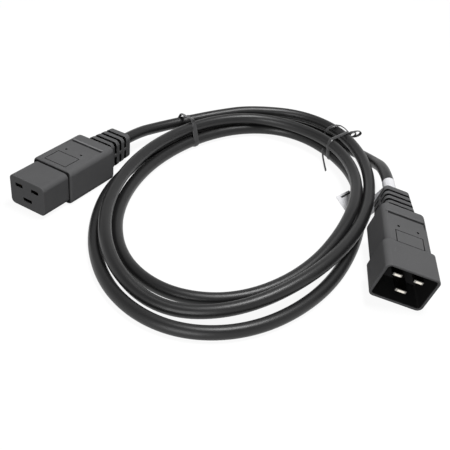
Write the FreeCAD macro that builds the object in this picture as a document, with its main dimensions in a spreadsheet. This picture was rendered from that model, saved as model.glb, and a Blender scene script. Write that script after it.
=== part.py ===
import FreeCAD, Part
import Sketcher
import os
from math import pi, sin, cos, tan, radians, hypot, sqrt
from FreeCAD import Vector, Placement, Rotation

# C19 to C20 power cord set, 16 A, three cores, in millimetres.
# Origin on the floor below the middle of the C19 connector, +Z up.
# The C19 faces -Y and its cord leaves towards +Y; the cord lies in three loose
# turns to the right of it, and the C20 plug lies beyond them.
doc = FreeCAD.newDocument("power_cord_set")

# ---------------------------------------------------------------- sizes
SIZES = [
    # C19 contact carrier: the rigid nose and its root inside the grip
    ("nose_width", 28.4), ("nose_height", 20.8), ("nose_corner", 3.2), ("nose_length", 22.0),
    ("root_length", 8.0), ("key_step", 0.8), ("key_length", 2.0), ("key_setback", 2.0),
    ("face_wall", 1.4), ("face_round", 0.5),
    # contact layout shared by both connectors
    ("pole_pitch", 13.0), ("pole_rise", 4.6), ("earth_drop", 4.0),
    ("blade_width", 5.6), ("earth_blade_width", 6.6), ("blade_thickness", 2.0),
    ("slot_play", 0.5), ("contact_play", 0.6),
    # female contacts
    ("leaf_thickness", 0.6), ("leaf_slack", 0.2), ("leaf_pinch", 1.7), ("leaf_flare", 2.6),
    ("contact_setback", 3.0), ("contact_length", 17.0), ("leaf_bend", 3.0),
    ("tail_width", 3.0), ("tail_thickness", 0.8), ("crimp_wall", 0.4), ("crimp_length", 4.5),
    ("crimp_setback", 2.0),
    # C20 shroud and blades
    ("shroud_width", 33.4), ("shroud_height", 25.2), ("shroud_corner", 3.6),
    ("shroud_length", 23.0), ("shroud_wall", 1.8), ("shroud_floor", 2.5), ("mouth_bevel", 0.5),
    ("plug_root_length", 8.0), ("plug_root_wall", 1.8), ("plug_root_corner", 2.5),
    ("blade_tip", 2.9), ("earth_blade_tip", 1.4), ("blade_chamfer", 0.3),
    # grips: soft overmoulding, with a thumb scoop, a marking frame and two holes
    ("grip_width", 31.8), ("grip_height", 24.8), ("grip_corner", 4.0), ("grip_length", 44.0),
    ("plug_grip_width", 29.2), ("plug_grip_length", 39.3),
    ("rim_round", 1.6), ("shoulder_round", 3.4),
    ("scoop_from_back", 20.4), ("ridge_from_back", 9.4), ("scoop_depth", 1.5), ("ridge_lean", 0.8),
    ("scoop_side", 2.6),
    ("frame_width", 18.0), ("frame_length", 13.4), ("frame_line", 0.6), ("frame_depth", 0.4),
    ("frame_from_back", 41.0), ("hole_dia", 1.8), ("hole_depth", 2.4), ("hole_pitch", 12.6),
    ("hole_from_back", 23.3),
    # ribbed strain relief behind each grip
    ("relief_length", 25.0), ("relief_width", 20.5), ("relief_height", 20.0),
    ("relief_end_width", 18.0), ("relief_end_height", 17.6), ("relief_corner", 3.2),
    ("relief_wall", 1.2), ("relief_web", 2.2), ("gap_width", 2.3), ("gap_pitch", 5.6),
    ("gap_count", 4), ("gap_setback", 1.0), ("relief_end_round", 1.0),
    # inner moulding, cores and sheath
    ("block_width", 22.0), ("block_height", 16.5), ("block_corner", 2.0),
    ("cord_dia", 8.0), ("core_dia", 2.6), ("core_gap", 0.17), ("core_run", 3.5), ("core_end", 7.0),
    ("held_sheath", 33.0),
    # C20 attitude on the floor
    ("plug_across", 225.08), ("plug_along", 13.91),
    ("plug_yaw", 26.78), ("plug_roll", 15.03), ("plug_dip", 2.45),
    # twist ties and flag label
    ("tie_width", 2.6), ("tie_thickness", 0.9), ("tie_play", 0.22), ("knot_length", 8.0),
    ("knot_height", 1.8), ("knot_width", 2.2),
    ("loop_length", 9.0), ("loop_height", 4.4), ("tail_length", 12.0), ("tie_tail_thickness", 1.0),
    ("label_width", 19.0), ("label_setback", 0.5), ("label_thickness", 0.3), ("label_play", 0.05),
    ("label_lift", 0.05),
]
sheet = doc.addObject("Spreadsheet::Sheet", "dims")
for row, (alias, value) in enumerate(SIZES, 1):
    sheet.set("A%d" % row, alias)
    sheet.set("B%d" % row, str(value))
    sheet.setAlias("B%d" % row, alias)
doc.recompute()


def size(alias):
    return float(sheet.get(alias))


def d(text):
    """Turns {name} into a reference to the sheet's cell."""
    return text.replace("{", "dims.").replace("}", "")


# ---------------------------------------------------------------- sketch and feature helpers
def number(obj, text):
    return float(obj.evalExpression(d(text)))


def outline(s, corners, arcs=None):
    """Closed loop through corners (pairs of expressions), each corner placed from the
    sketch's origin; arcs gives the radius of the edges that leave a corner on an arc."""
    arcs = arcs or {}
    pts = [Vector(number(s, x), number(s, y), 0) for x, y in corners]
    n = len(pts)
    ends = []
    for i, a in enumerate(pts):
        b = pts[(i + 1) % n]
        if i in arcs:
            r = number(s, arcs[i])
            half = (b - a) * 0.5
            left = Vector(-half.y, half.x, 0).normalize()
            c = a + half + left * sqrt(max(r * r - half.Length ** 2, 0.0))
            arc = Part.ArcOfCircle(Part.Circle(c, Vector(0, 0, 1), r),
                                   (a - c).getAngle(Vector(1, 0, 0)) * (1 if a.y >= c.y else -1),
                                   (b - c).getAngle(Vector(1, 0, 0)) * (1 if b.y >= c.y else -1))
            g = s.addGeometry(arc)
            s.setExpression("Constraints[%d]" % s.addConstraint(
                Sketcher.Constraint("Radius", g, r)), d(arcs[i]))
        else:
            g = s.addGeometry(Part.LineSegment(a, b))
        ends.append(g)
    for i in range(n):
        s.addConstraint(Sketcher.Constraint("Coincident", ends[i - 1], 2, ends[i], 1))
    for i, (x, y) in enumerate(corners):
        for kind, text, value in (("DistanceX", x, pts[i].x), ("DistanceY", y, pts[i].y)):
            k = s.addConstraint(Sketcher.Constraint(kind, -1, 1, ends[i], 1, value))
            s.setExpression("Constraints[%d]" % k, d(text))


def rect(s, w, h, x="0", z="0", r=None):
    """Rectangle w by h about (x, z), its corners rounded by r if that is given."""
    l, t = "(%s)/2" % w, "(%s)/2" % h
    if r is None:
        outline(s, [("%s+%s" % (x, l), "%s-%s" % (z, t)), ("%s+%s" % (x, l), "%s+%s" % (z, t)),
                    ("%s-%s" % (x, l), "%s+%s" % (z, t)), ("%s-%s" % (x, l), "%s-%s" % (z, t))])
        return
    outline(s, [("%s+%s-%s" % (x, l, r), "%s-%s" % (z, t)), ("%s+%s" % (x, l), "%s-%s+%s" % (z, t, r)),
                ("%s+%s" % (x, l), "%s+%s-%s" % (z, t, r)), ("%s+%s-%s" % (x, l, r), "%s+%s" % (z, t)),
                ("%s-%s+%s" % (x, l, r), "%s+%s" % (z, t)), ("%s-%s" % (x, l), "%s+%s-%s" % (z, t, r)),
                ("%s-%s" % (x, l), "%s-%s+%s" % (z, t, r)), ("%s-%s+%s" % (x, l, r), "%s-%s" % (z, t))],
            {0: r, 2: r, 4: r, 6: r})


def circle(s, dia, x="0", z="0"):
    g = s.addGeometry(Part.Circle(Vector(number(s, x), number(s, z), 0), Vector(0, 0, 1),
                                  number(s, dia) / 2))
    k = s.addConstraint(Sketcher.Constraint("Diameter", g, number(s, dia)))
    s.setExpression("Constraints[%d]" % k, d(dia))
    for kind, text in (("DistanceX", x), ("DistanceY", z)):
        k = s.addConstraint(Sketcher.Constraint(kind, -1, 1, g, 3, number(s, text)))
        s.setExpression("Constraints[%d]" % k, d(text))


def body(name, at):
    b = doc.addObject("PartDesign::Body", name)
    b.Label = name
    b.Placement = at
    return b


def origin_part(b, role):
    return [f for f in b.Origin.OriginFeatures if f.Role == role][0]


def sketch(b, name, start="0", role="XZ_Plane"):
    """Sketch across the connector's length, start behind its face, or on another plane."""
    s = b.newObject("Sketcher::SketchObject", name + "_sketch")
    s.AttachmentSupport = (origin_part(b, role), [""])
    s.MapMode = "FlatFace"
    s.setExpression("AttachmentOffset.Base.z", d(("-(%s)" if role == "XZ_Plane" else "%s") % start))
    return s


CUTS = []


def extrude(b, kind, name, s, length, both=False):
    f = b.newObject("PartDesign::" + kind, name)
    f.Profile = s
    f.setExpression("Length", d(length))
    f.Reversed = kind == "Pad" and not both
    if both:
        f.SideType = "Symmetric"
    b.Tip = f
    if kind == "Pocket":
        CUTS.append(f)
    return f


def dress(b, kind, name, amount, pick):
    """Fillet or Chamfer of the edges of the body so far that pick chooses."""
    doc.recompute()
    base = b.Tip
    edges = ["Edge%d" % i for i, e in enumerate(base.Shape.Edges, 1) if pick(e)]
    f = b.newObject("PartDesign::" + kind, name)
    f.Base = (base, edges)
    f.setExpression("Radius" if kind == "Fillet" else "Size", d(amount))
    b.Tip = f
    return f


def at_station(k, tol=1e-4):
    return lambda e: all(abs(v.Point.y - k) < tol for v in e.Vertexes)


def tube(points, dia):
    """Round bar along straight runs joined by tangent arcs, each arc as large as its runs
    allow. Returns the solid, its path's length and the arcs' radii."""
    pts = [Vector(*p) for p in points]
    edges, radii, last = [], [], pts[0]
    for a, p, c in zip(pts, pts[1:], pts[2:]):
        u, w = (a - p), (c - p)
        t = 0.45 * min(u.Length, w.Length)
        u.normalize(), w.normalize()
        turn = pi - u.getAngle(w)
        r = t / tan(turn / 2)
        radii.append(r)
        s, e = p + u * t, p + w * t
        middle = p + (u + w).normalize() * (r / cos(turn / 2) - r)
        edges.append(Part.LineSegment(last, s).toShape())
        edges.append(Part.Arc(s, middle, e).toShape())
        last = e
    edges.append(Part.LineSegment(last, pts[-1]).toShape())
    path = Part.Wire(edges)
    ring = Part.Wire([Part.Circle(pts[0], pts[1] - pts[0], dia / 2).toShape()])
    return path.makePipeShell([ring], True, False), path.Length, radii


def feature(name, shape, at):
    f = doc.addObject("Part::Feature", name)
    f.Label = name
    f.Shape = shape
    f.Placement = at
    return f


# ---------------------------------------------------------------- where the connectors lie
# Each connector is drawn with its face at y = 0, its rear towards +y and its axis at
# x = z = 0, and is then placed.
SOCKET_LENGTH = size("nose_length") + size("grip_length") + size("relief_length")
PLUG_LENGTH = size("shroud_length") + size("plug_grip_length") + size("relief_length")
SOCKET_AT = Placement(Vector(0, -SOCKET_LENGTH / 2, size("grip_height") / 2), Rotation())
turned = Rotation(size("plug_yaw"), size("plug_roll"), size("plug_dip"))
shell = Part.makeBox(size("shroud_width") - 0.586 * size("shroud_corner"), size("shroud_length"),
                     size("shroud_height"))
shell.translate(Vector(-shell.BoundBox.XLength / 2, 0, -size("shroud_height") / 2))


def lowest():
    """Depth of the shroud's rounded lower edge below its axis, once it is turned."""
    c = size("shroud_corner")
    low = 0.0
    for sx in (-1, 1):
        for y in (0, size("shroud_length")):
            p = turned.multVec(Vector(sx * (size("shroud_width") / 2 - c), y,
                                      -(size("shroud_height") / 2 - c)))
            across = turned.multVec(Vector(0, 1, 0))
            low = min(low, p.z - c * sqrt(1 - across.z ** 2))
    return -low


PLUG_AT = Placement(Vector(size("plug_across"), size("plug_along"), lowest()), turned)

POLES = [("line", "{pole_pitch}/2", "{pole_rise}", "{blade_width}", "{blade_tip}"),
         ("neutral", "-{pole_pitch}/2", "{pole_rise}", "{blade_width}", "{blade_tip}"),
         ("earth", "0", "-{earth_drop}", "{earth_blade_width}", "{earth_blade_tip}")]
CORES = {"line": "brown", "neutral": "blue", "earth": "green_yellow"}


def pole_at(at, x, z):
    here = Vector(float(sheet.evalExpression(d(x))), 0, float(sheet.evalExpression(d(z))))
    return at.multiply(Placement(here, Rotation()))


def crimp(b, start):
    s = sketch(b, "crimp", start)
    circle(s, "{core_dia}+2*{crimp_wall}")
    circle(s, "{core_dia}")
    extrude(b, "Pad", "crimp", s, "{crimp_length}")


# ---------------------------------------------------------------- C19 contact carrier
carrier = body("c19_insert", SOCKET_AT)
s = sketch(carrier, "nose")
rect(s, "{nose_width}", "{nose_height}", r="{nose_corner}")
extrude(carrier, "Pad", "nose", s, "{nose_length}+{root_length}")
dress(carrier, "Fillet", "face_edge", "{face_round}", at_station(0))
s = sketch(carrier, "key", "{nose_length}+{key_setback}")
rect(s, "{nose_width}+2*{key_step}", "{nose_height}+2*{key_step}", r="({nose_corner}+{key_step})")
extrude(carrier, "Pad", "key", s, "{key_length}")
s = sketch(carrier, "slots")
for _, x, z, w, _ in POLES:
    rect(s, w + "+{slot_play}", "{blade_thickness}+{slot_play}", x, z)
extrude(carrier, "Pocket", "slots", s, "{face_wall}+1")
s = sketch(carrier, "chambers", "{face_wall}")
for _, x, z, w, _ in POLES:
    rect(s, w + "+2*{contact_play}",
         "{blade_thickness}+{leaf_slack}+2*{leaf_thickness}+2*{contact_play}", x, z)
extrude(carrier, "Pocket", "chambers", s, "{nose_length}+{root_length}")


# ---------------------------------------------------------------- C19 contacts
def contact(pole, x, z, w):
    """Folded spring contact: two leaves pinched at the mouth, a bridge, a tail and a crimp."""
    b = body("c19_contact_" + pole, pole_at(SOCKET_AT, x, z))
    front, back = "{contact_setback}", "{contact_setback}+{contact_length}"
    mid, bend = front + "+{leaf_bend}", front + "+2*{leaf_bend}"
    inner = "({blade_thickness}+{leaf_slack})/2"
    lip, nip, t = "{leaf_flare}/2", "{leaf_pinch}/2", "{leaf_thickness}"
    upper = [(back, inner + "+" + t), (bend, inner + "+" + t), (mid, nip + "+" + t),
             (front, lip + "+" + t), (front, lip), (mid, nip), (bend, inner),
             (back + "-" + t, inner)]
    lower = [(y, "-(%s)" % h) for y, h in reversed(upper)]
    s = sketch(b, "leaves", role="YZ_Plane")
    outline(s, upper + lower)
    extrude(b, "Pad", "leaves", s, w, both=True)
    start = back + "-" + t + "/2"
    stop = "{nose_length}+{root_length}+{crimp_setback}+1"
    s = sketch(b, "tail", role="YZ_Plane")
    outline(s, [(start, "-{tail_thickness}/2"), (stop, "-{tail_thickness}/2"),
                (stop, "{tail_thickness}/2"), (start, "{tail_thickness}/2")])
    extrude(b, "Pad", "tail", s, "{tail_width}", both=True)
    crimp(b, "{nose_length}+{root_length}+{crimp_setback}")
    return b


# ---------------------------------------------------------------- C20 shroud and blades
shroud = body("c20_insert", PLUG_AT)
s = sketch(shroud, "shroud")
rect(s, "{shroud_width}", "{shroud_height}", r="{shroud_corner}")
extrude(shroud, "Pad", "shroud", s, "{shroud_length}")
s = sketch(shroud, "recess")
rect(s, "{shroud_width}-2*{shroud_wall}", "{shroud_height}-2*{shroud_wall}",
     r="({shroud_corner}-{shroud_wall})")
extrude(shroud, "Pocket", "recess", s, "{shroud_length}-{shroud_floor}")
dress(shroud, "Chamfer", "mouth", "{mouth_bevel}", at_station(0))
s = sketch(shroud, "root", "{shroud_length}")
PLUG_ROOT = ("{plug_grip_width}-2*{plug_root_wall}", "{grip_height}-2*{plug_root_wall}")
rect(s, *PLUG_ROOT, r="{plug_root_corner}")
extrude(shroud, "Pad", "root", s, "{plug_root_length}")
s = sketch(shroud, "blade_ways", "{shroud_length}-{shroud_floor}")
for _, x, z, w, _ in POLES:
    rect(s, w, "{blade_thickness}", x, z)
extrude(shroud, "Pocket", "blade_ways", s, "{shroud_floor}+{plug_root_length}")


def blade(pole, x, z, w, tip):
    b = body("c20_pin_" + pole, pole_at(PLUG_AT, x, z))
    s = sketch(b, "blade", tip)
    rect(s, w, "{blade_thickness}")
    extrude(b, "Pad", "blade", s,
            "{shroud_length}+{plug_root_length}+{crimp_setback}-%s" % tip)
    dress(b, "Chamfer", "tip", "{blade_chamfer}", at_station(number(s, tip)))
    crimp(b, "{shroud_length}+{plug_root_length}+{crimp_setback}")
    return b


# ---------------------------------------------------------------- inner moulding, cores, sheath
def wiring(prefix, at, root, total, terminals):
    """Cores from the crimps to the sheath, the moulding round them, and the held sheath."""
    made = []
    gather = (size("core_dia") / 2 + size("core_gap") / 2) / cos(pi / 6)
    lay = {"line": 30, "neutral": 150, "earth": 270}
    first = root + size("crimp_setback") + 1.2
    last = total - size("held_sheath")
    turn_in = root + size("crimp_setback") + size("crimp_length") + size("core_run")
    for pole, x, z, _, _ in POLES:
        px, pz = (float(sheet.evalExpression(d(v))) for v in (x, z))
        cx, cz = gather * cos(radians(lay[pole])), gather * sin(radians(lay[pole]))
        solid, _, _ = tube([(px, first, pz), (px, turn_in, pz), (cx, last - size("core_end"), cz),
                            (cx, last, cz)], size("core_dia"))
        made.append(feature("%s_core_%s" % (prefix, CORES[pole]), solid, at))
    blank = body(prefix + "_block_blank", at)
    s = sketch(blank, "block", str(root))
    rect(s, "{block_width}", "{block_height}", r="{block_corner}")
    extrude(blank, "Pad", "block", s, str(last - root))
    filling = doc.addObject("Part::MultiFuse", prefix + "_filling")
    filling.Shapes = made + terminals
    block = doc.addObject("Part::Cut", prefix + "_inner_mould")
    block.Label = prefix + "_inner_mould"
    block.Base, block.Tool = blank, filling
    sheath = body(prefix + "_sheath_end", at)
    s = sketch(sheath, "sheath", str(last))
    circle(s, "{cord_dia}")
    extrude(sheath, "Pad", "sheath", s, "{held_sheath}")
    return made + [block, sheath]


# ---------------------------------------------------------------- grips with ribbed reliefs
def overmould(name, at, front, length, width, root, hollow):
    """Soft grip and strain relief in one moulding. front is where it starts behind the face;
    root is the depth of the carrier inside it; hollow draws the carrier's pocket."""
    b = body(name, at)
    back = "%s+%s" % (front, length)
    end = back + "+{relief_length}"
    top = "{grip_height}/2"
    s = sketch(b, "grip", front)
    rect(s, width, "{grip_height}", r="{grip_corner}")
    extrude(b, "Pad", "grip", s, length)
    dress(b, "Fillet", "rim", "{rim_round}", at_station(number(s, front)))
    dress(b, "Fillet", "shoulder", "{shoulder_round}", at_station(number(s, back)))
    # thumb scoop: a slope that runs down to the foot of a cross ridge
    s = sketch(b, "scoop", role="YZ_Plane")
    ridge = back + "-{ridge_from_back}"
    outline(s, [(back + "-{scoop_from_back}", top), (ridge + "-{ridge_lean}", top + "-{scoop_depth}"),
                (ridge, top), (ridge, top + "+1"), (back + "-{scoop_from_back}", top + "+1")])
    extrude(b, "Pocket", "scoop", s, "%s-2*{scoop_side}" % width, both=True)
    # marking frame and the two holes behind it
    s = sketch(b, "frame", top + "-{frame_depth}", role="XY_Plane")
    middle = back + "-{frame_from_back}+{frame_length}/2"
    rect(s, "{frame_width}", "{frame_length}", "0", middle)
    rect(s, "{frame_width}-2*{frame_line}", "{frame_length}-2*{frame_line}", "0", middle)
    f = extrude(b, "Pocket", "frame", s, "{frame_depth}+1")
    f.Reversed = True
    s = sketch(b, "holes", top + "-{hole_depth}", role="XY_Plane")
    for side in ("", "-"):
        circle(s, "{hole_dia}", side + "{hole_pitch}/2", back + "-{hole_from_back}")
    f = extrude(b, "Pocket", "holes", s, "{hole_depth}+1")
    f.Reversed = True
    # tapered relief
    s = sketch(b, "relief", back)
    rect(s, "{relief_width}", "{relief_height}", r="{relief_corner}")
    far = sketch(b, "relief_end", end)
    rect(far, "{relief_end_width}", "{relief_end_height}", r="{relief_corner}")
    f = b.newObject("PartDesign::AdditiveLoft", "relief")
    f.Profile, f.Sections = s, [far]
    b.Tip = f
    dress(b, "Fillet", "relief_edge", "{relief_end_round}", at_station(number(s, end)))
    # gaps above and below, on either side of a web at mid height
    s = sketch(b, "gap", back + "+{gap_setback}")
    foot, reach = "{relief_web}/2", "{cord_dia}/2+{relief_wall}"
    neck = "sqrt((%s)^2-(%s)^2)" % (reach, foot)
    wide, high = "{relief_width}/2+1", "{relief_height}/2+1"
    outline(s, [(neck, foot), ("-" + neck, foot), ("-(%s)" % wide, foot), ("-(%s)" % wide, high),
                (wide, high), (wide, foot)], {0: "(%s)" % reach})
    outline(s, [("-" + neck, "-" + foot), (neck, "-" + foot), (wide, "-" + foot),
                (wide, "-(%s)" % high), ("-(%s)" % wide, "-(%s)" % high), ("-(%s)" % wide, "-" + foot)],
            {0: "(%s)" % reach})
    gap = extrude(b, "Pocket", "gap", s, "{gap_width}")
    row = b.newObject("PartDesign::LinearPattern", "gaps")
    row.Originals = [gap]
    row.Direction = (origin_part(b, "Y_Axis"), [""])
    row.Mode = "Spacing"
    row.setExpression("Offset", d("{gap_pitch}"))
    row.setExpression("Occurrences", d("{gap_count}"))
    b.Tip = row
    # hollows: the carrier, the inner moulding and the sheath
    hollow(b, front)
    held = end + "-{held_sheath}"
    s = sketch(b, "block_way", "%s+%s" % (front, root))
    rect(s, "{block_width}", "{block_height}", r="{block_corner}")
    extrude(b, "Pocket", "block_way", s, "%s-(%s+%s)" % (held, front, root))
    s = sketch(b, "sheath_way", held)
    circle(s, "{cord_dia}")
    extrude(b, "Pocket", "sheath_way", s, "{held_sheath}")
    return b


def nose_hollow(b, front):
    s = sketch(b, "root_way", front)
    rect(s, "{nose_width}", "{nose_height}", r="{nose_corner}")
    extrude(b, "Pocket", "root_way", s, "{root_length}")
    s = sketch(b, "key_way", front + "+{key_setback}")
    rect(s, "{nose_width}+2*{key_step}", "{nose_height}+2*{key_step}", r="({nose_corner}+{key_step})")
    extrude(b, "Pocket", "key_way", s, "{key_length}")


def plug_hollow(b, front):
    s = sketch(b, "root_way", front)
    rect(s, *PLUG_ROOT, r="{plug_root_corner}")
    extrude(b, "Pocket", "root_way", s, "{plug_root_length}")


pieces = [carrier, shroud]
contacts = [contact(pole, x, z, w) for pole, x, z, w, _ in POLES]
blades = [blade(*pole) for pole in POLES]
pieces += contacts + blades
pieces += wiring("c19", SOCKET_AT, size("nose_length") + size("root_length"), SOCKET_LENGTH, contacts)
pieces += wiring("c20", PLUG_AT, size("shroud_length") + size("plug_root_length"), PLUG_LENGTH, blades)
pieces.append(overmould("c19_overmould", SOCKET_AT, "{nose_length}", "{grip_length}", "{grip_width}",
                        "{root_length}", nose_hollow))
pieces.append(overmould("c20_overmould", PLUG_AT, "{shroud_length}", "{plug_grip_length}",
                        "{plug_grip_width}", "{plug_root_length}", plug_hollow))

# ---------------------------------------------------------------- the cord
# Three loose turns, clockwise seen from above, each a leaning oval of its own that the cord
# passes into over a few stations; then out to the plug. Heights are of the cord's middle.
LOW, MID, TIED, TOP = 4.0, 4.6, 5.2, 13.9
TURNS = [(101.9, 50, 80.9, 126, 8.5), (100.3, 46, 74.3, 108, 9.5), (99.5, 39, 84.5, 127.5, 17)]
START = [0, 0, 1.2, 0]
SPREAD = [3, 3, 4.5, 1.6]
HEIGHTS = [[TOP] * 5 + [13.5, 13.1, TOP, 8, 4.6, 11.5, TOP],
           [TOP] * 7 + [7.5, LOW, LOW, LOW, LOW],
           [4.4, TIED, TIED, TIED, TIED, 5.1, MID, 4.2, LOW, LOW, LOW, LOW],
           [4.3, TIED, TIED, TIED]]
LEAD = [(0, 64, 12.4), (4.5, 84.5, 10.5), (14, 106.5, 10.5), (29, 129.5, 12.6)]
OUT = [(127, 162.5, 5.2), (151, 151, 8.4)]
# Stations (turn, number) that lie pushed outwards by their neighbours, and how far.
PUSHED = {(1, 4): (1.2, 1.5), (1, 5): (2.2, 1.6), (2, 5): (3.2, 2.0)}


def station(oval, j):
    """Point of a leaning oval, 30 degrees a station from its left end."""
    x, y, a, b, lean = oval
    u, v = -a * cos(radians(30 * j)), b * sin(radians(30 * j))
    lean = radians(lean)
    return x + u * cos(lean) - v * sin(lean), y + u * sin(lean) + v * cos(lean)


def route():
    points = [tuple(SOCKET_AT.multVec(Vector(0, SOCKET_LENGTH, 0)))] + LEAD
    ovals = TURNS + [TURNS[0]]
    for turn in range(4):
        for j in range(12 if turn < 3 else 4):
            if turn == 0 and j < 2:
                continue
            mix = min(1.0, max(0.0, (j - START[turn]) / SPREAD[turn]))
            oval = [p * (1 - mix) + c * mix for p, c in zip(ovals[max(0, turn - 1)], ovals[turn])]
            x, y = station(oval, j)
            dx, dy = PUSHED.get((turn, j), (0, 0))
            points.append((x + dx, y + dy, HEIGHTS[turn][j]))
    points += OUT
    points += [tuple(PLUG_AT.multVec(Vector(0, PLUG_LENGTH + run, 0))) for run in (34, 0)]
    return points


ROUTE = route()
solid, length, radii = tube(ROUTE, size("cord_dia"))
pieces.append(feature("cord", solid, Placement()))
print("cord: length %.1f, smallest radius %.1f, volume ratio %.5f" %
      (length, min(radii), solid.Volume / (length * pi * size("cord_dia") ** 2 / 4)))
print("radii", [round(r) for r in radii])


# ---------------------------------------------------------------- twist ties
def band(s, strands, grow):
    """Loop drawn tight round the strands (across, height), grow outside the cord."""
    n = len(strands)
    corners, arcs = [], {}
    reach = "({cord_dia}/2+{tie_play}+%s)" % grow
    for i, (x, z) in enumerate(strands):
        for a, b in ((strands[i - 1], (x, z)), ((x, z), strands[(i + 1) % n])):
            dx, dz = b[0] - a[0], b[1] - a[1]
            l = hypot(dx, dz)
            corners.append(("%.6f+(%.6f)*%s" % (x, dz / l, reach), "%.6f+(%.6f)*%s" % (z, -dx / l, reach)))
        arcs[2 * i] = reach
    outline(s, corners, arcs)


def tie(name, x, y, heading, strands):
    """Flat tie round four strands whose middles are given counter-clockwise."""
    b = body(name, Placement(Vector(x, y, 0), Rotation(Vector(0, 0, 1), heading)))
    s = sketch(b, "band")
    band(s, strands, "{tie_thickness}")
    band(s, strands, "0")
    extrude(b, "Pad", "band", s, "{tie_width}", both=True)
    top = sum(z for _, z in strands if z > 10) / 2
    middle = sum(x for x, z in strands if z > 10) / 2
    s = sketch(b, "knot")
    rect(s, "{knot_length}", "{knot_height}", str(middle),
         "%.4f+{cord_dia}/2+{tie_play}+{tie_thickness}/2+{knot_height}/2" % top)
    extrude(b, "Pad", "knot", s, "{knot_width}", both=True)
    return b


pieces.append(tie("tie_left", 22, 105.5, -19.3, [(2.95, 5.17), (11.8, 5.19), (7.53, 13.9), (-7.22, 10.78)]))
right = tie("tie_right", 122, 157.5, -117.1, [(-5.94, 5.44), (10.35, 5.14), (13.25, 13.9), (-4.46, 13.9)])
s = sketch(right, "loop")
edge = "-4.95-({cord_dia}/2+{tie_play}+{tie_thickness}/2)"
rect(s, "{loop_length}", "{loop_height}", edge + "-{loop_length}/2", "11.5", r="{loop_height}/2.2")
rect(s, "{loop_length}-2*{tie_thickness}", "{loop_height}-2*{tie_thickness}",
     edge + "-{loop_length}/2", "11.5", r="({loop_height}/2.2-{tie_thickness})")
extrude(right, "Pad", "loop", s, "{tie_width}", both=True)
s = sketch(right, "tail")
inner = "11.3+1.05*({cord_dia}/2+{tie_play}+{tie_thickness}/2)"
outline(s, [(inner, "8.2"), (inner + "+0.8*{tail_length}", "8.2-0.6*{tail_length}"),
            (inner + "+0.8*{tail_length}+0.6*{tie_tail_thickness}",
             "8.2-0.6*{tail_length}+0.8*{tie_tail_thickness}"),
            (inner, "8.2+1.25*{tie_tail_thickness}")])
extrude(right, "Pad", "tail", s, "{tie_width}*0.7", both=True)
pieces.append(right)

# ---------------------------------------------------------------- flag label on the plug's lead
wrap = size("cord_dia") / 2 + size("label_play")
near, away = (PLUG_AT.multVec(Vector(0, PLUG_LENGTH + size("label_setback") + run, 0))
              for run in (0, size("label_width")))
axis = (away - near).normalize()
skin = size("label_thickness")
sleeve = Part.makeCylinder(wrap + skin, size("label_width"), near, axis).cut(
    Part.makeCylinder(wrap, size("label_width"), near, axis))
aside = Vector(-axis.y, axis.x, 0).normalize()
down = (aside * 0.55 + Vector(0, 0, -0.83)).normalize()
tips = (Vector(161.3, 85.6, 0), Vector(147.2, 99.2, 0))
rows = []
lift = Vector(0, 0, size("label_lift"))
for along, out in ((0, Vector(0.86, 0.2, -0.5)), (0.45, Vector(-0.35, -0.1, 1)), (1, Vector(0, 0, 1))):
    line = []
    for root_, tip_ in zip((near, away), tips):
        p = Vector(root_.x, root_.y, 0) * (1 - along) + tip_ * along + lift
        if along == 0:
            p = root_ + down * (wrap + skin * 0.2)
        line.append(p)
    out = out.normalize() * skin
    rows.append(Part.makePolygon([line[0], line[1], line[1] + out, line[0] + out, line[0]]))
flag = Part.makeLoft(rows, True, True)
pieces.append(feature("label_flag", sleeve.fuse(flag).removeSplitter(), Placement()))

# ---------------------------------------------------------------- checks and files
doc.recompute()
for obj in doc.Objects:
    if "Invalid" in obj.State or "Error" in obj.State:
        raise SystemExit("%s failed: %s" % (obj.Name, obj.State))
for cut in CUTS:
    if cut.Shape.Volume > cut.BaseFeature.Shape.Volume - 1e-3:
        raise SystemExit("%s in %s cuts nothing" % (cut.Name, cut.getParent().Label))
for piece in pieces:
    shape = piece.Shape
    if shape.isNull() or not shape.isValid() or len(shape.Solids) != 1:
        raise SystemExit("%s: %d solids, valid %s" % (piece.Label, len(shape.Solids), shape.isValid()))
os.makedirs("parts", exist_ok=True)
for piece in pieces:
    piece.Shape.exportStep("parts/%s.step" % piece.Label)
print("pieces", len(pieces))
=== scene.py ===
# A mains lead with a C19 socket on one end and a C20 plug on the other, wound in three loose
# turns, held by two twist ties and laid on a table. Both connectors are moulded onto the cord.
from math import atan2, cos, degrees, exp, pi, radians, sin

import bmesh
import bpy
from mathutils import Matrix, Vector


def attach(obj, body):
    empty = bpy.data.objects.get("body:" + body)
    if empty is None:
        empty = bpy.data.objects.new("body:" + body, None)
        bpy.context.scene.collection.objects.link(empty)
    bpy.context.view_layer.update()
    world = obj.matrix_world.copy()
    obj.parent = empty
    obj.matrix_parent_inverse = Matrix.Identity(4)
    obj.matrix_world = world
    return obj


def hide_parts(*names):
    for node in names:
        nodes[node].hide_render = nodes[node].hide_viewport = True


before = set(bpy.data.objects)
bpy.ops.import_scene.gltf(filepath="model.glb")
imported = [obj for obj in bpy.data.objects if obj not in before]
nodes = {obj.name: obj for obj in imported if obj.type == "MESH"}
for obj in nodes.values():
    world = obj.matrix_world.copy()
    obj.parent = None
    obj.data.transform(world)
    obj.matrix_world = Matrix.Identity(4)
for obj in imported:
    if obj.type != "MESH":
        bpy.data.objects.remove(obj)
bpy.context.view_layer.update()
scene = bpy.context.scene
scene.view_settings.view_transform = "Standard"

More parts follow.
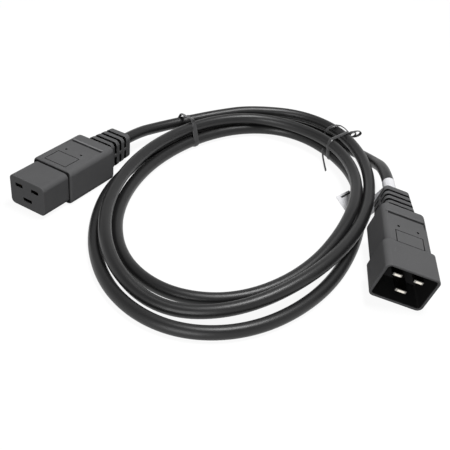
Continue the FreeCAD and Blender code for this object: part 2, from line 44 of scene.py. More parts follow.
# ---------------------------------------------------------------- camera
# Stands in front of the socket and a little to its right, looking down on the coil.
camera_right, camera_up = Vector((0.8448, 0.5274, 0.0901)), Vector((-0.3674, 0.4495, 0.8142))
camera_back = camera_right.cross(camera_up)
camera = bpy.data.objects.new("Camera", bpy.data.cameras.new("Camera"))
camera.data.lens, camera.data.sensor_width, camera.data.clip_start = 56, 36, 0.02
camera.matrix_world = Matrix.LocRotScale(
    Vector((0.2788, -0.3016, 0.2571)),
    Matrix((camera_right, camera_up, camera_back)).transposed().to_quaternion(), None)
scene.collection.objects.link(camera)
scene.camera = camera

# ---------------------------------------------------------------- cord
# An 8 mm three-core lead in a soft black PVC sheath, extruded round the twisted cores. It leaves
# the socket, makes three loose turns, clockwise from above, and runs out of them into the plug.
CORD = 0.008
# Each connector's length, where the middle of its face stands and how it is turned. The plug
# rests on the lower right corner of its mouth, and the lead holds its other end up.
SOCKET_LENGTH, PLUG_LENGTH = 0.091, 0.0873
SOCKET = Matrix.Translation((0, -0.0455, 0.0124))
PLUG_YAW, PLUG_ROLL, PLUG_DIP = radians(26.78), radians(15.03), radians(2.45)
PLUG = (Matrix.Translation((0.22508, 0.01391, 0.01567825)) @ Matrix.Rotation(PLUG_YAW, 4, "Z")
        @ Matrix.Rotation(PLUG_ROLL, 4, "Y") @ Matrix.Rotation(PLUG_DIP, 4, "X"))

# Each turn is a leaning oval: its middle, its half width and half length, and its lean in
# degrees. It has twelve stations, from its left end on, and the cord passes into it from the
# turn before over the first of them. The last turn only begins. Heights are of the cord's middle.
OVALS = [(0.1019, 0.050, 0.0809, 0.126, 8.5), (0.1003, 0.046, 0.0743, 0.108, 9.5),
         (0.0995, 0.039, 0.0845, 0.1275, 17), (0.1019, 0.050, 0.0809, 0.126, 8.5)]
PASSES_FROM, PASSES_OVER = [0, 0, 1.2, 0], [3, 3, 4.5, 1.6]
LOW, MID, TIED, TOP = 0.004, 0.0046, 0.0052, 0.0139
HEIGHTS = [[TOP] * 5 + [0.0135, 0.0131, TOP, 0.008, 0.0046, 0.0115, TOP],
           [TOP] * 7 + [0.0075, LOW, LOW, LOW, LOW],
           [0.0044, TIED, TIED, TIED, TIED, 0.0051, MID, 0.0042, LOW, LOW, LOW, LOW],
           [0.0043, TIED, TIED, TIED]]
# Stations (turn, number) that lie pushed outwards by their neighbours, and how far.
PUSHED = {(1, 4): (0.0012, 0.0015), (1, 5): (0.0022, 0.0016), (2, 5): (0.0032, 0.0020)}
# The way in takes the place of the first turn's first two stations.
WAY_IN = [(0, 0.064, 0.0124), (0.0045, 0.0845, 0.0105), (0.014, 0.1065, 0.0105),
          (0.029, 0.1295, 0.0126)]
WAY_OUT = [(0.127, 0.1625, 0.0052), (0.151, 0.151, 0.0084), PLUG @ Vector((0, PLUG_LENGTH + 0.034, 0)),
           PLUG @ Vector((0, PLUG_LENGTH, 0))]

line = [SOCKET @ Vector((0, SOCKET_LENGTH, 0))] + WAY_IN
for turn, heights in enumerate(HEIGHTS):
    for station, height in enumerate(heights):
        if turn == 0 and station < 2:
            continue
        mix = min(1.0, max(0.0, (station - PASSES_FROM[turn]) / PASSES_OVER[turn]))
        x, y, half_width, half_length, lean = (
            before * (1 - mix) + after * mix
            for before, after in zip(OVALS[max(0, turn - 1)], OVALS[turn]))
        angle, lean = radians(30 * station), radians(lean)
        u, v = -half_width * cos(angle), half_length * sin(angle)
        dx, dy = PUSHED.get((turn, station), (0, 0))
        line.append((x + u * cos(lean) - v * sin(lean) + dx, y + u * sin(lean) + v * cos(lean) + dy,
                     height))
line += WAY_OUT

curve = bpy.data.curves.new("cord_sheath", "CURVE")
curve.dimensions = "3D"
spline = curve.splines.new("NURBS")
spline.points.add(len(line) - 1)
for point, place in zip(spline.points, line):
    point.co = (*place, 1)
spline.order_u = 3
spline.use_endpoint_u = True
spline.resolution_u = 14
curve.bevel_depth, curve.bevel_resolution, curve.use_fill_caps = CORD / 2, 8, True
cord = bpy.data.objects.new("cord_sheath", curve)
scene.collection.objects.link(cord)


def put(tree, kind, **given):
    """Adds a shader node. A given value is a setting, a socket's number, or a socket to link."""
    made = tree.nodes.new("ShaderNode" + kind)
    for key, value in given.items():
        if hasattr(made, key):
            setattr(made, key, value)
            continue
        socket = made.inputs[int(key[1:]) if key[1:].isdigit() else key.replace("_", " ")]
        if isinstance(value, bpy.types.NodeSocket):
            tree.links.new(value, socket)
        else:
            socket.default_value = value
    return made


def spread(tree, value, low, high, start, end):
    """A value that runs from low to high, laid over start to end."""
    return put(tree, "MapRange", Value=value, From_Min=low, From_Max=high, To_Min=start,
               To_Max=end).outputs["Result"]


def noise(tree, where, **settings):
    """A noise pattern's value at a place."""
    return put(tree, "TexNoise", Vector=where, **settings).outputs["Fac"]


def blend(tree, mask, under, over):
    """One colour laid over another by a mask. A colour is three numbers or a socket."""
    under, over = ((*c, 1) if isinstance(c, tuple) else c for c in (under, over))
    return put(tree, "MixRGB", Fac=mask, Color1=under, Color2=over).outputs["Color"]


def bumped(tree, height, strength, depth):
    """The normal of a surface with fine relief, depth metres deep."""
    return put(tree, "Bump", Strength=strength, Distance=depth, Height=height).outputs["Normal"]


def finish(name, **settings):
    """A material with these even settings on its shader; returns it, its tree and its shader."""
    made = bpy.data.materials.new(name)
    made.use_nodes = True
    shader = made.node_tree.nodes["Principled BSDF"]
    for key, value in settings.items():
        shader.inputs[key.replace("_", " ")].default_value = value
    return made, made.node_tree, shader


def feed(tree, shader, **outputs):
    """Links what changes over the surface to the shader's sockets of these names."""
    for key, output in outputs.items():
        tree.links.new(output, shader.inputs[key.replace("_", " ")])


def group(name, inputs, outputs):
    """An empty shader group with named inputs (and their defaults) and outputs."""
    tree = bpy.data.node_groups.new(name, "ShaderNodeTree")
    for key, value in inputs.items():
        kind = "NodeSocketFloat" if isinstance(value, (int, float)) else "NodeSocketVector"
        tree.interface.new_socket(key, in_out="INPUT", socket_type=kind).default_value = value
    for key in outputs:
        tree.interface.new_socket(key, in_out="OUTPUT", socket_type="NodeSocketFloat")
    return tree, tree.nodes.new("NodeGroupInput").outputs, tree.nodes.new("NodeGroupOutput").inputs


def settle(piece, node, material):
    """Gives a piece its material and puts it in the place of a node of the part."""
    piece.data.materials.append(material)
    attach(piece, "root")
    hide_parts(node)


# Fine spark-eroded grain, soft clouding under it and specks of dust, as every black PVC piece has.
grain, given, out = group("Moulded grain", {"Grain per metre": 7000, "Cloud per metre": 90,
                                            "Specks": 0.5}, ["Height", "Cloud", "Dust"])
where = put(grain, "TexCoord").outputs["Object"]
fine = noise(grain, where, Scale=given["Grain per metre"], Detail=3.0, Roughness=0.6)
cloud = noise(grain, where, Scale=given["Cloud per metre"], Detail=4.0, Roughness=0.55)
dust = spread(grain, noise(grain, where, Scale=2600.0, Detail=1.0), 0.70, 0.78, 0.0, given["Specks"])
grain.links.new(fine, out["Height"])
grain.links.new(cloud, out["Cloud"])
grain.links.new(dust, out["Dust"])

# Drawn lines run along the sheath, which is smoother than a moulding and lightly dusty.
sheath, tree, shader = finish("Cord sheath, soft black PVC", Specular_IOR_Level=0.42)
skin = put(tree, "Group", node_tree=grain, Grain_per_metre=3500, Specks=0.35).outputs
along = put(tree, "Mapping", Vector=put(tree, "UVMap").outputs["UV"], Scale=(60, 14, 1))
streak = noise(tree, along.outputs["Vector"], Scale=1.0, Detail=2.0)
tone = blend(tree, skin["Cloud"], (0.008, 0.008, 0.0083), (0.012, 0.012, 0.0124))
feed(tree, shader, Base_Color=blend(tree, skin["Dust"], tone, (0.04, 0.04, 0.039)),
     Roughness=spread(tree, streak, 0.3, 0.7, 0.34, 0.44),
     Normal=bumped(tree, skin["Height"], 0.25, 0.00004))
settle(cord, "cord", sheath)

# ---------------------------------------------------------------- socket and plug mouldings
# Each connector is a hard PVC carrier that holds its contacts, and a softer PVC grip with its
# ribbed strain relief, shot over the carrier, the inner mould and the cord.

# The marking zone on a grip's top face: how high above its axis it lies, and its half width.
MARKING_HEIGHT, MARKING_HALF = 0.0115, 0.0095


def shown(bm, name, sharp):
    """Puts a bmesh in the scene as a smooth object whose edges past an angle are sharp."""
    for face in bm.faces:
        face.smooth = True
    mesh = bpy.data.meshes.new(name)
    bm.to_mesh(mesh)
    bm.free()
    mesh.set_sharp_from_angle(angle=radians(sharp))
    made = bpy.data.objects.new(name, mesh)
    scene.collection.objects.link(made)
    return made


def eased(node, name, place, ease, fine_ease=0.0):
    """A copy of a moulding with its sharp arrises eased. The sunk frame and the holes on its
    top face get the fine ease."""
    bm = bmesh.new()
    bm.from_mesh(nodes[node].data)
    bmesh.ops.remove_doubles(bm, verts=bm.verts, dist=2e-6)
    bmesh.ops.dissolve_limit(bm, angle_limit=radians(1), verts=bm.verts, edges=bm.edges)
    back = place.inverted()
    for marking, size in ((True, fine_ease), (False, ease)):
        edges = []
        for edge in bm.edges:
            middle = back @ ((edge.verts[0].co + edge.verts[1].co) / 2)
            inside = fine_ease > 0 and middle.z > MARKING_HEIGHT and abs(middle.x) < MARKING_HALF
            if len(edge.link_faces) == 2 and edge.calc_face_angle() > radians(28) and inside == marking:
                edges.append(edge)
        if edges:
            bmesh.ops.bevel(bm, geom=edges, offset=size, offset_type="OFFSET", segments=2,
                            profile=0.5, affect="EDGES", material=-1, clamp_overlap=False)
    piece = shown(bm, name, 50)
    piece.modifiers.new("Even shading", "WEIGHTED_NORMAL").keep_sharp = True
    return piece


# A thin lighter line along each arris: partly wear, partly a painted highlight.
edge_wear_and_highlight, given, out = group("Edge wear and painted highlight", {"Width": 0.0005, "Amount": 0.5}, ["Mask"])
soft = put(edge_wear_and_highlight, "Bevel", samples=4, Radius=given["Width"]).outputs["Normal"]
true = put(edge_wear_and_highlight, "NewGeometry").outputs["Normal"]
near = put(edge_wear_and_highlight, "VectorMath", operation="DOT_PRODUCT", _0=soft, _1=true).outputs["Value"]
edge_wear_and_highlight.links.new(spread(edge_wear_and_highlight, near, 0.995, 0.85, 0.0, given["Amount"]), out["Mask"])


def largest(tree, *values):
    """The largest of several values."""
    most = values[0]
    for value in values[1:]:
        most = put(tree, "Math", operation="MAXIMUM", _0=most, _1=value).outputs[0]
    return most


# Inside a box: 1 within the box that stands round Middle with half sides Half, 0 outside it.
boxed, given, out = group("Inside a box", {"Point": (0, 0, 0), "Middle": (0, 0, 0),
                                           "Half": (1, 1, 1), "Soft": 0.02}, ["Mask"])
off = put(boxed, "VectorMath", operation="SUBTRACT", _0=given["Point"], _1=given["Middle"]).outputs[0]
share = put(boxed, "VectorMath", operation="DIVIDE", _0=off, _1=given["Half"]).outputs[0]
share = put(boxed, "VectorMath", operation="ABSOLUTE", _0=share).outputs[0]
share = put(boxed, "SeparateXYZ", Vector=share).outputs
start = put(boxed, "Math", operation="SUBTRACT", _0=1.0, _1=given["Soft"]).outputs[0]
boxed.links.new(spread(boxed, largest(boxed, *share), start, 1.0, 1.0, 0.0), out["Mask"])


def millimetres(tree, place):
    """A piece's own coordinates in millimetres, from where it is placed."""
    return put(tree, "Mapping", vector_type="TEXTURE", Vector=put(tree, "TexCoord").outputs["Object"],
               Location=place.translation, Rotation=place.to_euler(),
               Scale=(0.001, 0.001, 0.001)).outputs["Vector"]


def moulded(name, dark, light, dust_wear_and_highlight, specular, roughness, grain_size, depth, place=None, painted_light_boxes=()):
    """A black moulding; its lighter edge line is wear and a painted highlight. Its boxes, in its own
    millimetres, lay painted shade or a painted highlight, with their own roughness: each has a middle,
    half sides, a soft edge, a shade and a roughness."""
    made, tree, shader = finish(name, Specular_IOR_Level=specular)
    skin = put(tree, "Group", node_tree=grain, Grain_per_metre=grain_size).outputs
    edge = put(tree, "Group", node_tree=edge_wear_and_highlight).outputs["Mask"]
    dusty = blend(tree, skin["Dust"], blend(tree, skin["Cloud"], dark, light), dust_wear_and_highlight)
    colour = blend(tree, edge, dusty, dust_wear_and_highlight)
    gloss = spread(tree, skin["Cloud"], 0.3, 0.7, roughness - 0.05, roughness + 0.05)
    if painted_light_boxes:
        own = millimetres(tree, place)
    for middle, half, soft_edge, shade, polish in painted_light_boxes:
        box = put(tree, "Group", node_tree=boxed, Point=own, Middle=middle, Half=half, Soft=soft_edge)
        mask = box.outputs["Mask"]
        colour = blend(tree, mask, colour, (shade, shade, shade * 1.02))
        gloss = spread(tree, mask, 0.0, 1.0, gloss, polish)
    feed(tree, shader, Base_Color=colour, Roughness=gloss,
         Normal=bumped(tree, skin["Height"], 0.5, depth))
    return made


# Millimetres behind each connector's face: where its grip begins and where its relief begins.
SOCKET_GRIP, SOCKET_RELIEF = 22, 66
PLUG_GRIP, PLUG_RELIEF = 23, 62.3
# The gaps between a relief's ribs, from its front on, and the painted shade laid in deep and in shallow
# hollows.
FIRST_GAP, GAP_PITCH, GAPS = 2.15, 5.6, 4
DEEP_PAINTED_SHADE, DIM_PAINTED_SHADE = 0.012, 0.02


def grip_painted_light(grip, relief, lip_highlight):
    """Painted shade in the marking frame with the holes, at the foot of the scoop's ridge, at the foot
    of the front rim and in the gaps between the ribs, which taper with the relief; a painted highlight
    on the ridge's lip."""
    frame_and_holes = ((0, relief - 31.65, 10.1), (9.3, 9.5, 2.15), 0.02, DEEP_PAINTED_SHADE, 0.5)
    ridge_foot = ((0, relief - 10.2, 11.25), (13.6, 0.75, 0.6), 0.1, 0.03, 0.5)
    ridge_lip = ((0, relief - 9.5, 12.0), (13.6, 0.35, 0.38), 0.1, lip_highlight, 0.45)
    rim_foot = ((0, grip, 0), (15.3, 0.45, 11.8), 0.05, DIM_PAINTED_SHADE, 0.5)
    gaps = [((0, relief + FIRST_GAP + GAP_PITCH * k, 0), (9.95 - 0.28 * k, 1.28, 9.7 - 0.27 * k),
             0.04, DEEP_PAINTED_SHADE, 0.5) for k in range(GAPS)]
    return [frame_and_holes, ridge_foot, ridge_lip, rim_foot] + gaps


# Painted shade inside the carrier's slots, on the land where its nose meets the grip, and in the
# shroud's recess.
SLOTS = ((0, 20.3, 0), (12.6, 20.0, 8.8), 0.01, 0.008, 0.6)
LAND = ((0, SOCKET_GRIP, 0), (15, 0.4, 11), 0.05, DIM_PAINTED_SHADE, 0.5)
RECESS = ((0, 20.3, 0), (15.1, 20.0, 11.0), 0.01, DIM_PAINTED_SHADE, 0.3)
# What the hard and the soft PVC look like wherever they are used. Their lighter edge colour is wear
# and a painted highlight, and it also colours the dust specks.
HARD = dict(dark=(0.088, 0.088, 0.09), light=(0.106, 0.106, 0.108), grain_size=8000, depth=0.00002)
SOFT = dict(dark=(0.097, 0.097, 0.099), light=(0.117, 0.117, 0.119), dust_wear_and_highlight=(0.16, 0.16, 0.162),
            specular=0.012, roughness=0.55, grain_size=6000, depth=0.00003)

settle(eased("c19_insert", "socket_carrier", SOCKET, 0.00012), "c19_insert",
       moulded("Socket carrier, hard black PVC", dust_wear_and_highlight=(0.15, 0.15, 0.152), specular=0.012,
               roughness=0.5, place=SOCKET, painted_light_boxes=[SLOTS, LAND], **HARD))
settle(eased("c19_overmould", "socket_grip", SOCKET, 0.0003, 0.00008), "c19_overmould",
       moulded("Socket grip, soft black PVC", place=SOCKET,
               painted_light_boxes=grip_painted_light(SOCKET_GRIP, SOCKET_RELIEF, 0.23), **SOFT))
# The shroud's lighter edge colour is brighter: wear, and a painted highlight along its mouth's rim.
plug_shroud = eased("c20_insert", "plug_shroud", PLUG, 0.0002)
settle(plug_shroud, "c20_insert",
       moulded("Plug shroud, hard black PVC", dust_wear_and_highlight=(0.32, 0.32, 0.325), specular=0.03,
               roughness=0.45, place=PLUG, painted_light_boxes=[RECESS], **HARD))
plug_grip = eased("c20_overmould", "plug_grip", PLUG, 0.0003, 0.00008)
settle(plug_grip, "c20_overmould",
       moulded("Plug grip, soft black PVC", place=PLUG,
               painted_light_boxes=grip_painted_light(PLUG_GRIP, PLUG_RELIEF, 0.15), **SOFT))


def dress(node, material):
    """Gives its material to a node that is shown as it is."""
    nodes[node].data.materials.clear()
    nodes[node].data.materials.append(material)


# The block under each grip, moulded round the crimps first so that the wires can't shift.
inner = moulded("Inner mould, filled PVC", dark=(0.035, 0.035, 0.034), light=(0.05, 0.05, 0.048),
                dust_wear_and_highlight=(0.09, 0.09, 0.088), specular=0.3, roughness=0.7, grain_size=2500,
                depth=0.00005)
for end in ("c19", "c20"):
    dress(end + "_inner_mould", inner)

# ---------------------------------------------------------------- contacts and blades
# The socket's contacts are folded from sprung brass strip and barely show in their slots. The
# plug's blades are stamped brass bar, nickel plated, with their tips coined to a chamfer.
POLES = ("line", "neutral", "earth")
brass, tree, shader = finish("Contacts, sprung brass strip", Metallic=1.0)
where = put(tree, "TexCoord").outputs["Object"]
rolled = put(tree, "Mapping", Vector=where, Scale=(900, 12000, 12000)).outputs["Vector"]
lines = noise(tree, rolled, Scale=1.0, Detail=3.0)
patch = noise(tree, where, Scale=250.0, Detail=3.0)
# The brass is coloured much darker than clean brass: painted shade for the slots that hold it.
feed(tree, shader, Base_Color=blend(tree, patch, (0.20, 0.135, 0.06), (0.30, 0.215, 0.10)),
     Roughness=spread(tree, lines, 0.3, 0.7, 0.34, 0.48))
for pole in POLES:
    dress("c19_contact_" + pole, brass)

# The plate is dull where it was drawn. Its tips are painted nearly white: a painted reflection of the
# white table they face.
# Each tip is a box in the plug's own millimetres: the blade's place and how far back it stands.
TIPS = [((6.5, 2.9, 4.6), (1.9, 0.6, 0.75)), ((-6.5, 2.9, 4.6), (1.9, 0.6, 0.75)),
        ((0, 1.4, -4.0), (2.2, 0.6, 0.75))]
nickel, tree, shader = finish("Blades, bright nickel plate", Metallic=1.0)
where = put(tree, "TexCoord").outputs["Object"]
drawn = put(tree, "Mapping", Vector=where, Rotation=(0, 0, -PLUG_YAW), Scale=(9000, 500, 9000))
lines = noise(tree, drawn.outputs["Vector"], Scale=1.0, Detail=2.0)
patch = noise(tree, where, Scale=180.0, Detail=4.0)
colour = blend(tree, patch, (0.26, 0.25, 0.23), (0.34, 0.33, 0.31))
own = millimetres(tree, PLUG)
for middle, half in TIPS:
    tip = put(tree, "Group", node_tree=boxed, Point=own, Middle=middle, Half=half, Soft=0.15)
    colour = blend(tree, tip.outputs["Mask"], colour, (0.84, 0.80, 0.72))
feed(tree, shader, Base_Color=colour, Roughness=spread(tree, lines, 0.3, 0.7, 0.16, 0.26),
     Normal=bumped(tree, lines, 0.12, 0.00002))
for pole in POLES:
    dress("c20_pin_" + pole, nickel)

# ---------------------------------------------------------------- cores and held sheath
# Three stranded cores in thin coloured PVC run from the crimps to where the sheath is gripped.
# The earth core is green with a yellow stripe.
CORES = {"brown": ((0.10, 0.035, 0.012), (0.13, 0.05, 0.02)),
         "blue": ((0.01, 0.07, 0.30), (0.02, 0.11, 0.40)),
         "green_yellow": ((0.05, 0.30, 0.04), (0.75, 0.62, 0.03))}
for colour, (dark, light) in CORES.items():
    core, tree, shader = finish("Core, %s PVC" % colour.replace("_", " and "), Specular_IOR_Level=0.5)
    skin = put(tree, "Group", node_tree=grain, Grain_per_metre=5000).outputs
    mask = skin["Cloud"]
    if colour == "green_yellow":
        where = put(tree, "TexCoord").outputs["Object"]
        stripe = put(tree, "TexWave", Vector=where, Scale=90.0, Distortion=0.4)
        mask = spread(tree, stripe.outputs["Fac"], 0.45, 0.55, 0.0, 1.0)
    feed(tree, shader, Base_Color=blend(tree, mask, dark, light),
         Roughness=spread(tree, skin["Cloud"], 0.3, 0.7, 0.32, 0.45),
         Normal=bumped(tree, skin["Height"], 0.2, 0.00003))
    for end in ("c19", "c20"):
        dress("%s_core_%s" % (end, colour), core)
for end in ("c19", "c20"):
    dress(end + "_sheath_end", sheath)

# ---------------------------------------------------------------- twist ties
# Flat twist ties, a steel wire in a black plastic ribbon, hold the turns together. Each goes
# round all the strands, and its ends are twisted on top or bent into loops by hand.
tie_black, tree, shader = finish("Tie, black coated wire", Specular_IOR_Level=0.5)
skin = put(tree, "Group", node_tree=grain).outputs
# A lighter line along the ribbon's edges: wear, and a painted highlight.
edge = put(tree, "Group", node_tree=edge_wear_and_highlight, Width=0.0002).outputs["Mask"]
tone = blend(tree, skin["Cloud"], (0.030, 0.030, 0.031), (0.045, 0.045, 0.046))
feed(tree, shader, Base_Color=blend(tree, edge, tone, (0.13, 0.13, 0.13)),
     Roughness=spread(tree, skin["Cloud"], 0.3, 0.7, 0.25, 0.38),
     Normal=bumped(tree, skin["Height"], 0.3, 0.00003))

# Shares of the ribbon's section: how thick it is beside the wire, and how wide half the wire is.
# Over the wire it is so many times thicker. Reach is from a strand's middle to the ribbon's.
BESIDE_WIRE, WIRE_HALF, WIRE_RISE = 0.62, 0.2, 1.6
REACH, CORNER_STEP = 4.6, radians(14)


def ribbon(bm, steps, width, thick, closed=False):
    """Sweeps the ribbon's section, flat with the wire's rib down its middle, along its steps.
    A step is a point, the ribbon's flat direction there, its twist in degrees and its width."""
    points = [Vector(step[0]) for step in steps]
    ring, first, last = [], [], None
    for i, (point, flat, twist, wide) in enumerate(steps):
        ahead = points[(i + 1) % len(points)] if closed else points[min(i + 1, len(points) - 1)]
        along = (ahead - points[i - 1 if closed else max(i - 1, 0)]).normalized()
        side = Vector(flat) - along * along.dot(Vector(flat))
        side = Matrix.Rotation(radians(twist), 3, along) @ side.normalized()
        here = Matrix((side, along.cross(side), along)).transposed().to_4x4()
        here = Matrix.Translation(point) @ here @ Matrix.Diagonal((wide, 1, 1, 1))
        if not ring:
            made = bmesh.ops.create_circle(bm, segments=12, radius=0.5)["verts"]
            bmesh.ops.scale(bm, vec=(width, thick * BESIDE_WIRE, 1), verts=made)
            for v in made:
                if abs(v.co.x) < width * WIRE_HALF:
                    v.co.y *= WIRE_RISE
            bmesh.ops.transform(bm, matrix=here, verts=made)
            ring = list(dict.fromkeys(e for v in made for e in v.link_edges))
            first = ring
        else:
            made = bmesh.ops.extrude_edge_only(bm, edges=ring)["geom"]
            bmesh.ops.transform(bm, matrix=here @ last.inverted(),
                                verts=[g for g in made if isinstance(g, bmesh.types.BMVert)])
            ring = [g for g in made if isinstance(g, bmesh.types.BMEdge)
                    and len(g.link_faces) == 1]
        last = here
    if closed:
        bmesh.ops.bridge_loops(bm, edges=first + ring)
    else:
        for end in (first, ring):
            bmesh.ops.holes_fill(bm, edges=end, sides=0)


def round_strands(strands):
    """Points of a loop drawn tight round the strands, with the way out of it at each."""
    loop = []
    for i, (x, z) in enumerate(strands):
        turn_in = Vector((x, z)) - Vector(strands[i - 1])
        turn_out = Vector(strands[(i + 1) % len(strands)]) - Vector((x, z))
        start = atan2(-turn_in.x, turn_in.y)
        sweep = (atan2(-turn_out.x, turn_out.y) - start) % (2 * pi)
        count = max(2, int(sweep / CORNER_STEP))
        for k in range(count + 1):
            t = start + sweep * k / count
            loop.append((x + REACH * cos(t), z + REACH * sin(t), cos(t), sin(t)))
    return loop


def tie(name, node, parts):
    """One tie from its ribbons, each worked in millimetres across, along and above its place."""
    bm = bmesh.new()
    for place, steps, width, thick, closed in parts:
        old = set(bm.verts)
        ribbon(bm, steps, width, thick, closed)
        made = [v for v in bm.verts if v not in old]
        bmesh.ops.scale(bm, vec=(0.001, 0.001, 0.001), verts=made)
        bmesh.ops.transform(bm, matrix=place, verts=made)
    bmesh.ops.remove_doubles(bm, verts=bm.verts, dist=1e-6)
    bmesh.ops.recalc_face_normals(bm, faces=bm.faces)
    piece = shown(bm, name, 50)
    settle(piece, node, tie_black)
    return piece


def across(x, y, heading):
    """A place on the table whose X runs across the strands, towards the middle of the coil."""
    return Matrix.Translation((x, y, 0)) @ Matrix.Rotation(radians(heading), 4, "Z")


def hump(angle, middle, half):
    """Rises to 1 at the middle of a bend and falls away on both sides, in degrees."""
    return exp(-((angle - middle) / half) ** 2)


# The left tie: wide and flat down the inner side, standing a little off the strands on top,
# where its two ends are twisted into a short rope.
LEFT_STRANDS = [(3.3, 5.15), (12.42, 5.16), (7.83, 13.9), (-7.97, 10.6)]
KINK, WIDER = 2.2, 0.6
ROPE_FROM, ROPE_TO = Vector((9.6, 0.3, 19.5)), Vector((-1.4, 1.0, 18.5))
ROPE_STEPS, ROPE_TWIST, ROPE_LAY = 18, 620, 0.7
band = []
for x, z, out_x, out_z in round_strands(LEFT_STRANDS):
    angle = degrees(atan2(out_z, out_x))
    kink, width = KINK * hump(angle, 94, 20), 0.95 + WIDER * hump(angle, -8, 42)
    band.append(((x + kink * out_x, 0, z + kink * out_z), (0, 1, 0), 0, width))
left_place = across(0.01998, 0.09974, -27.9)
left_parts = [(left_place, band, 3.1, 0.95, True)]
for start in (0, 180):
    rope = []
    for k in range(ROPE_STEPS + 1):
        share = k / ROPE_STEPS
        t = radians(start + ROPE_TWIST * share)
        rope.append((ROPE_FROM.lerp(ROPE_TO, share) + ROPE_LAY * Vector((0, cos(t), sin(t))),
                     (0, -sin(t), cos(t)), 0, 1))
    left_parts.append((left_place, rope, 1.9, 0.9, False))
left_tie = tie("left_tie", "tie_left", left_parts)

# The right tie: round all four strands, once more over the outer one, two bent loops standing
# out on the outer side and one cut end hanging to the table on the inner side.
RIGHT_STRANDS = [(-6.14, 5.47), (10.83, 5.18), (13.27, 13.9), (-4.45, 13.9)]
OVER = [(5.0, -12.4, 9.6), (5.6, -12.4, 12.4), (5.0, -12.2, 15.0), (3.2, -11.8, 17.3),
        (0.4, -11.2, 18.7), (-3.0, -10.2, 19.3), (-6.0, -8.6, 19.0), (-8.0, -6.4, 17.8),
        (-9.2, -3.8, 16.4), (-9.9, -1.0, 15.4)]
# Each loop's tip, lowest and highest point, place along the strands and twist in degrees. All
# stand out from one root.
LOOP_ROOT, LOOP_STEPS = 8.6, 24
LOOPS = [(18.6, 13.0, 17.6, 0.4, 8), (15.4, 12.4, 16.2, -1.1, -20)]
# The cut end's points, and how far the ribbon has turned up on its edge at each.
CUT_END = [((17.0, 1.2, 9.4), 0.3), ((18.2, 3.0, 7.0), 0.5), ((19.6, 6.0, 4.6), 0.8),
           ((21.2, 9.6, 3.0), 1), ((23.2, 13.6, 1.9), 1), ((25.4, 18.0, 1.1), 1)]
right_place = across(0.122, 0.1575, -117.1)
band = [((x, 0.6 * out_x, z), (0, 1, 0), 0, 1)
        for x, z, out_x, out_z in round_strands(RIGHT_STRANDS)]
right_parts = [(across(0.1238, 0.1566, -104.1), band, 2.9, 0.95, True),
               (right_place, [(point, (0.2, 1, 0), 0, 1) for point in OVER], 2.7, 0.9, False)]
for tip, low, high, y, twist in LOOPS:
    bend = []
    for k in range(LOOP_STEPS):
        t = 2 * pi * k / LOOP_STEPS
        x = -(LOOP_ROOT + tip) / 2 - (tip - LOOP_ROOT) / 2 * cos(t)
        bend.append(((x, y - 0.08 * (x + 9), (low + high) / 2 + (high - low) / 2 * sin(t)),
                     (0, 1, 0), twist, 1))
    right_parts.append((right_place, bend, 2.4, 0.95, True))
cut_end = [(point, (0, 1, lift), 0, 1) for point, lift in CUT_END]
right_parts.append((right_place, cut_end, 2.0, 0.9, False))
right_tie = tie("right_tie", "tie_right", right_parts)

# ---------------------------------------------------------------- flag label
# A white vinyl flag wrapped round the plug's lead, stuck back to back. Its end slips under the
# turns and lies flat inside the coil. One black bar is all that it carries.
# The flag's root is measured from the lead's middle, and its bend from the root.
FILM, WIDTH, SLEEVE = 0.00025, 0.019, 0.00419
FLAG_ROOT, FLAG_BEND = 0.00412, 0.006
film, tree, shader = finish("Label film, white vinyl", Specular_IOR_Level=0.3, Roughness=0.4)
skin = put(tree, "Group", node_tree=grain).outputs
tone = blend(tree, skin["Cloud"], (0.72, 0.72, 0.74), (0.78, 0.78, 0.80))
bar_place = Matrix.Translation((0.15186, 0.10628, 0)) @ Matrix.Rotation(radians(76.6), 4, "Z")
bar = put(tree, "Group", node_tree=boxed, Point=millimetres(tree, bar_place), Half=(5.6, 0.8, 3))
feed(tree, shader, Base_Color=blend(tree, bar.outputs["Mask"], tone, (0.015, 0.015, 0.015)))

# The sleeve lies along the lead's last bend, between two shares of the bend from its end back.
leg = line[-2] - line[-1]
drift = (Vector(line[-3]) + line[-2]) / 2 - line[-2] - leg
near, away = (line[-1] + 2 * run * leg + run ** 2 * drift for run in (0.0075, 0.302))
bm = bmesh.new()
wrap = bmesh.ops.create_cone(bm, segments=40, radius1=SLEEVE, radius2=SLEEVE, depth=WIDTH)["verts"]
bmesh.ops.transform(bm, verts=wrap, matrix=Matrix.Translation((near + away) / 2)
                    @ (away - near).to_track_quat("Z", "Y").to_matrix().to_4x4())
# The flag leaves the sleeve slanting down, reaches the table before the lowest strand, passes
# under it and ends inside the coil. Each of its sides runs root, bend, foot, flat, tip.
aside = Vector((-(away - near).y, (away - near).x, 0)).normalized()
down = (aside * 0.55 + Vector((0, 0, -0.83))).normalized()
sides = []
for root, foot, flat, tip in (
        (near, (0.1755, 0.0918, 0.00042), (0.1658, 0.0925, 0.0004), (0.1615, 0.0857, 0.0004)),
        (away, (0.1672, 0.1098, 0.00042), (0.1510, 0.1130, 0.0004), (0.1473, 0.0992, 0.0004))):
    root = root + down * FLAG_ROOT
    bend = root + down * FLAG_BEND
    sides.append((root, bend, Vector(foot), Vector(flat), Vector(tip)))
stretches = len(sides[0]) - 1
sheet = bmesh.ops.create_grid(bm, x_segments=4, y_segments=4 * stretches, size=0.5)["verts"]
for v in sheet:
    way_out = (v.co.y + 0.5) * stretches
    part = min(int(way_out), stretches - 1)
    near_side, far_side = (side[part].lerp(side[part + 1], way_out - part) for side in sides)
    v.co = near_side.lerp(far_side, v.co.x + 0.5)
bmesh.ops.recalc_face_normals(bm, faces=bm.faces)
bmesh.ops.solidify(bm, geom=list(bm.faces), thickness=FILM)
label = shown(bm, "flag_label", 40)
settle(label, "label_flag", film)

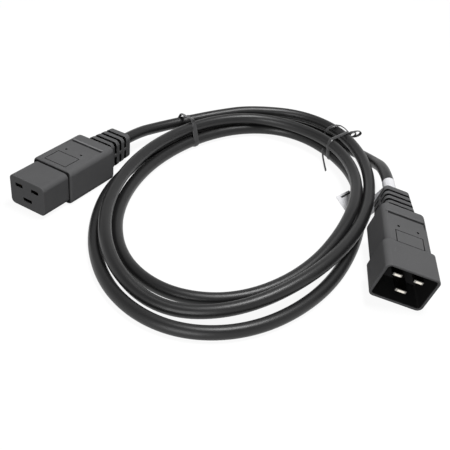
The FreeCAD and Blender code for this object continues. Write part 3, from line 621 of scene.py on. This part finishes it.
# ---------------------------------------------------------------- table and light
# A matt white table under soft studio light: a key lamp overhead, a broader fill lamp low in
# front, and a white backdrop that the glossy sheath and the plated blades show.
TABLE_WHITE, EVEN_LIGHT = 0.92, 0.14
bm = bmesh.new()
bmesh.ops.create_grid(bm, x_segments=1, y_segments=1, size=3)
table = shown(bm, "table", 50)
white, tree, shader = finish("Table, matt white", Roughness=0.9, Specular_IOR_Level=0.0)
shader.inputs["Base Color"].default_value = (0.1, 0.1, 0.1, 1)
seen = put(tree, "LightPath").outputs
shows = largest(tree, seen["Is Camera Ray"], seen["Is Glossy Ray"], seen["Is Transmission Ray"])
level = put(tree, "Math", operation="MULTIPLY", _0=shows, _1=TABLE_WHITE)
glow = put(tree, "Emission", Strength=level.outputs[0])
both = put(tree, "AddShader", _0=shader.outputs[0], _1=glow.outputs[0])
tree.links.new(both.outputs[0], tree.nodes["Material Output"].inputs["Surface"])
table.data.materials.append(white)

# The world is white to the camera, a backdrop that darkens upwards to what is glossy, and an
# even faint light to the rest.
world = bpy.data.worlds.new("Studio")
world.use_nodes = True
scene.world = world
tree = world.node_tree
backdrop = tree.nodes["Background"]
backdrop.inputs["Color"].default_value = (1, 1, 1, 1)
seen = put(tree, "LightPath").outputs
way = put(tree, "SeparateXYZ", Vector=put(tree, "TexCoord").outputs["Generated"])
cloth = spread(tree, way.outputs["Z"], 0.1, 0.8, 1.0, 0.25)
mirrored = put(tree, "Math", operation="MULTIPLY", _0=seen["Is Glossy Ray"], _1=cloth).outputs[0]
level = largest(tree, mirrored, seen["Is Camera Ray"], seen["Is Transmission Ray"], EVEN_LIGHT)
tree.links.new(level, backdrop.inputs["Strength"])

COIL_MIDDLE = Vector((0.12, 0.03, 0))
for name, towards, distance, wide, power in (("Key", (0.14, 0.14, 0.97), 1.1, 0.42, 12),
                                             ("Fill", (0.24, -0.93, 0.28), 1.3, 0.7, 8.5)):
    lamp = bpy.data.objects.new(name, bpy.data.lights.new(name, "AREA"))
    lamp.data.size, lamp.data.energy = wide, power
    lamp.location = COIL_MIDDLE + Vector(towards).normalized() * distance
    lamp.rotation_euler = (-Vector(towards)).to_track_quat("-Z", "Y").to_euler()
    scene.collection.objects.link(lamp)
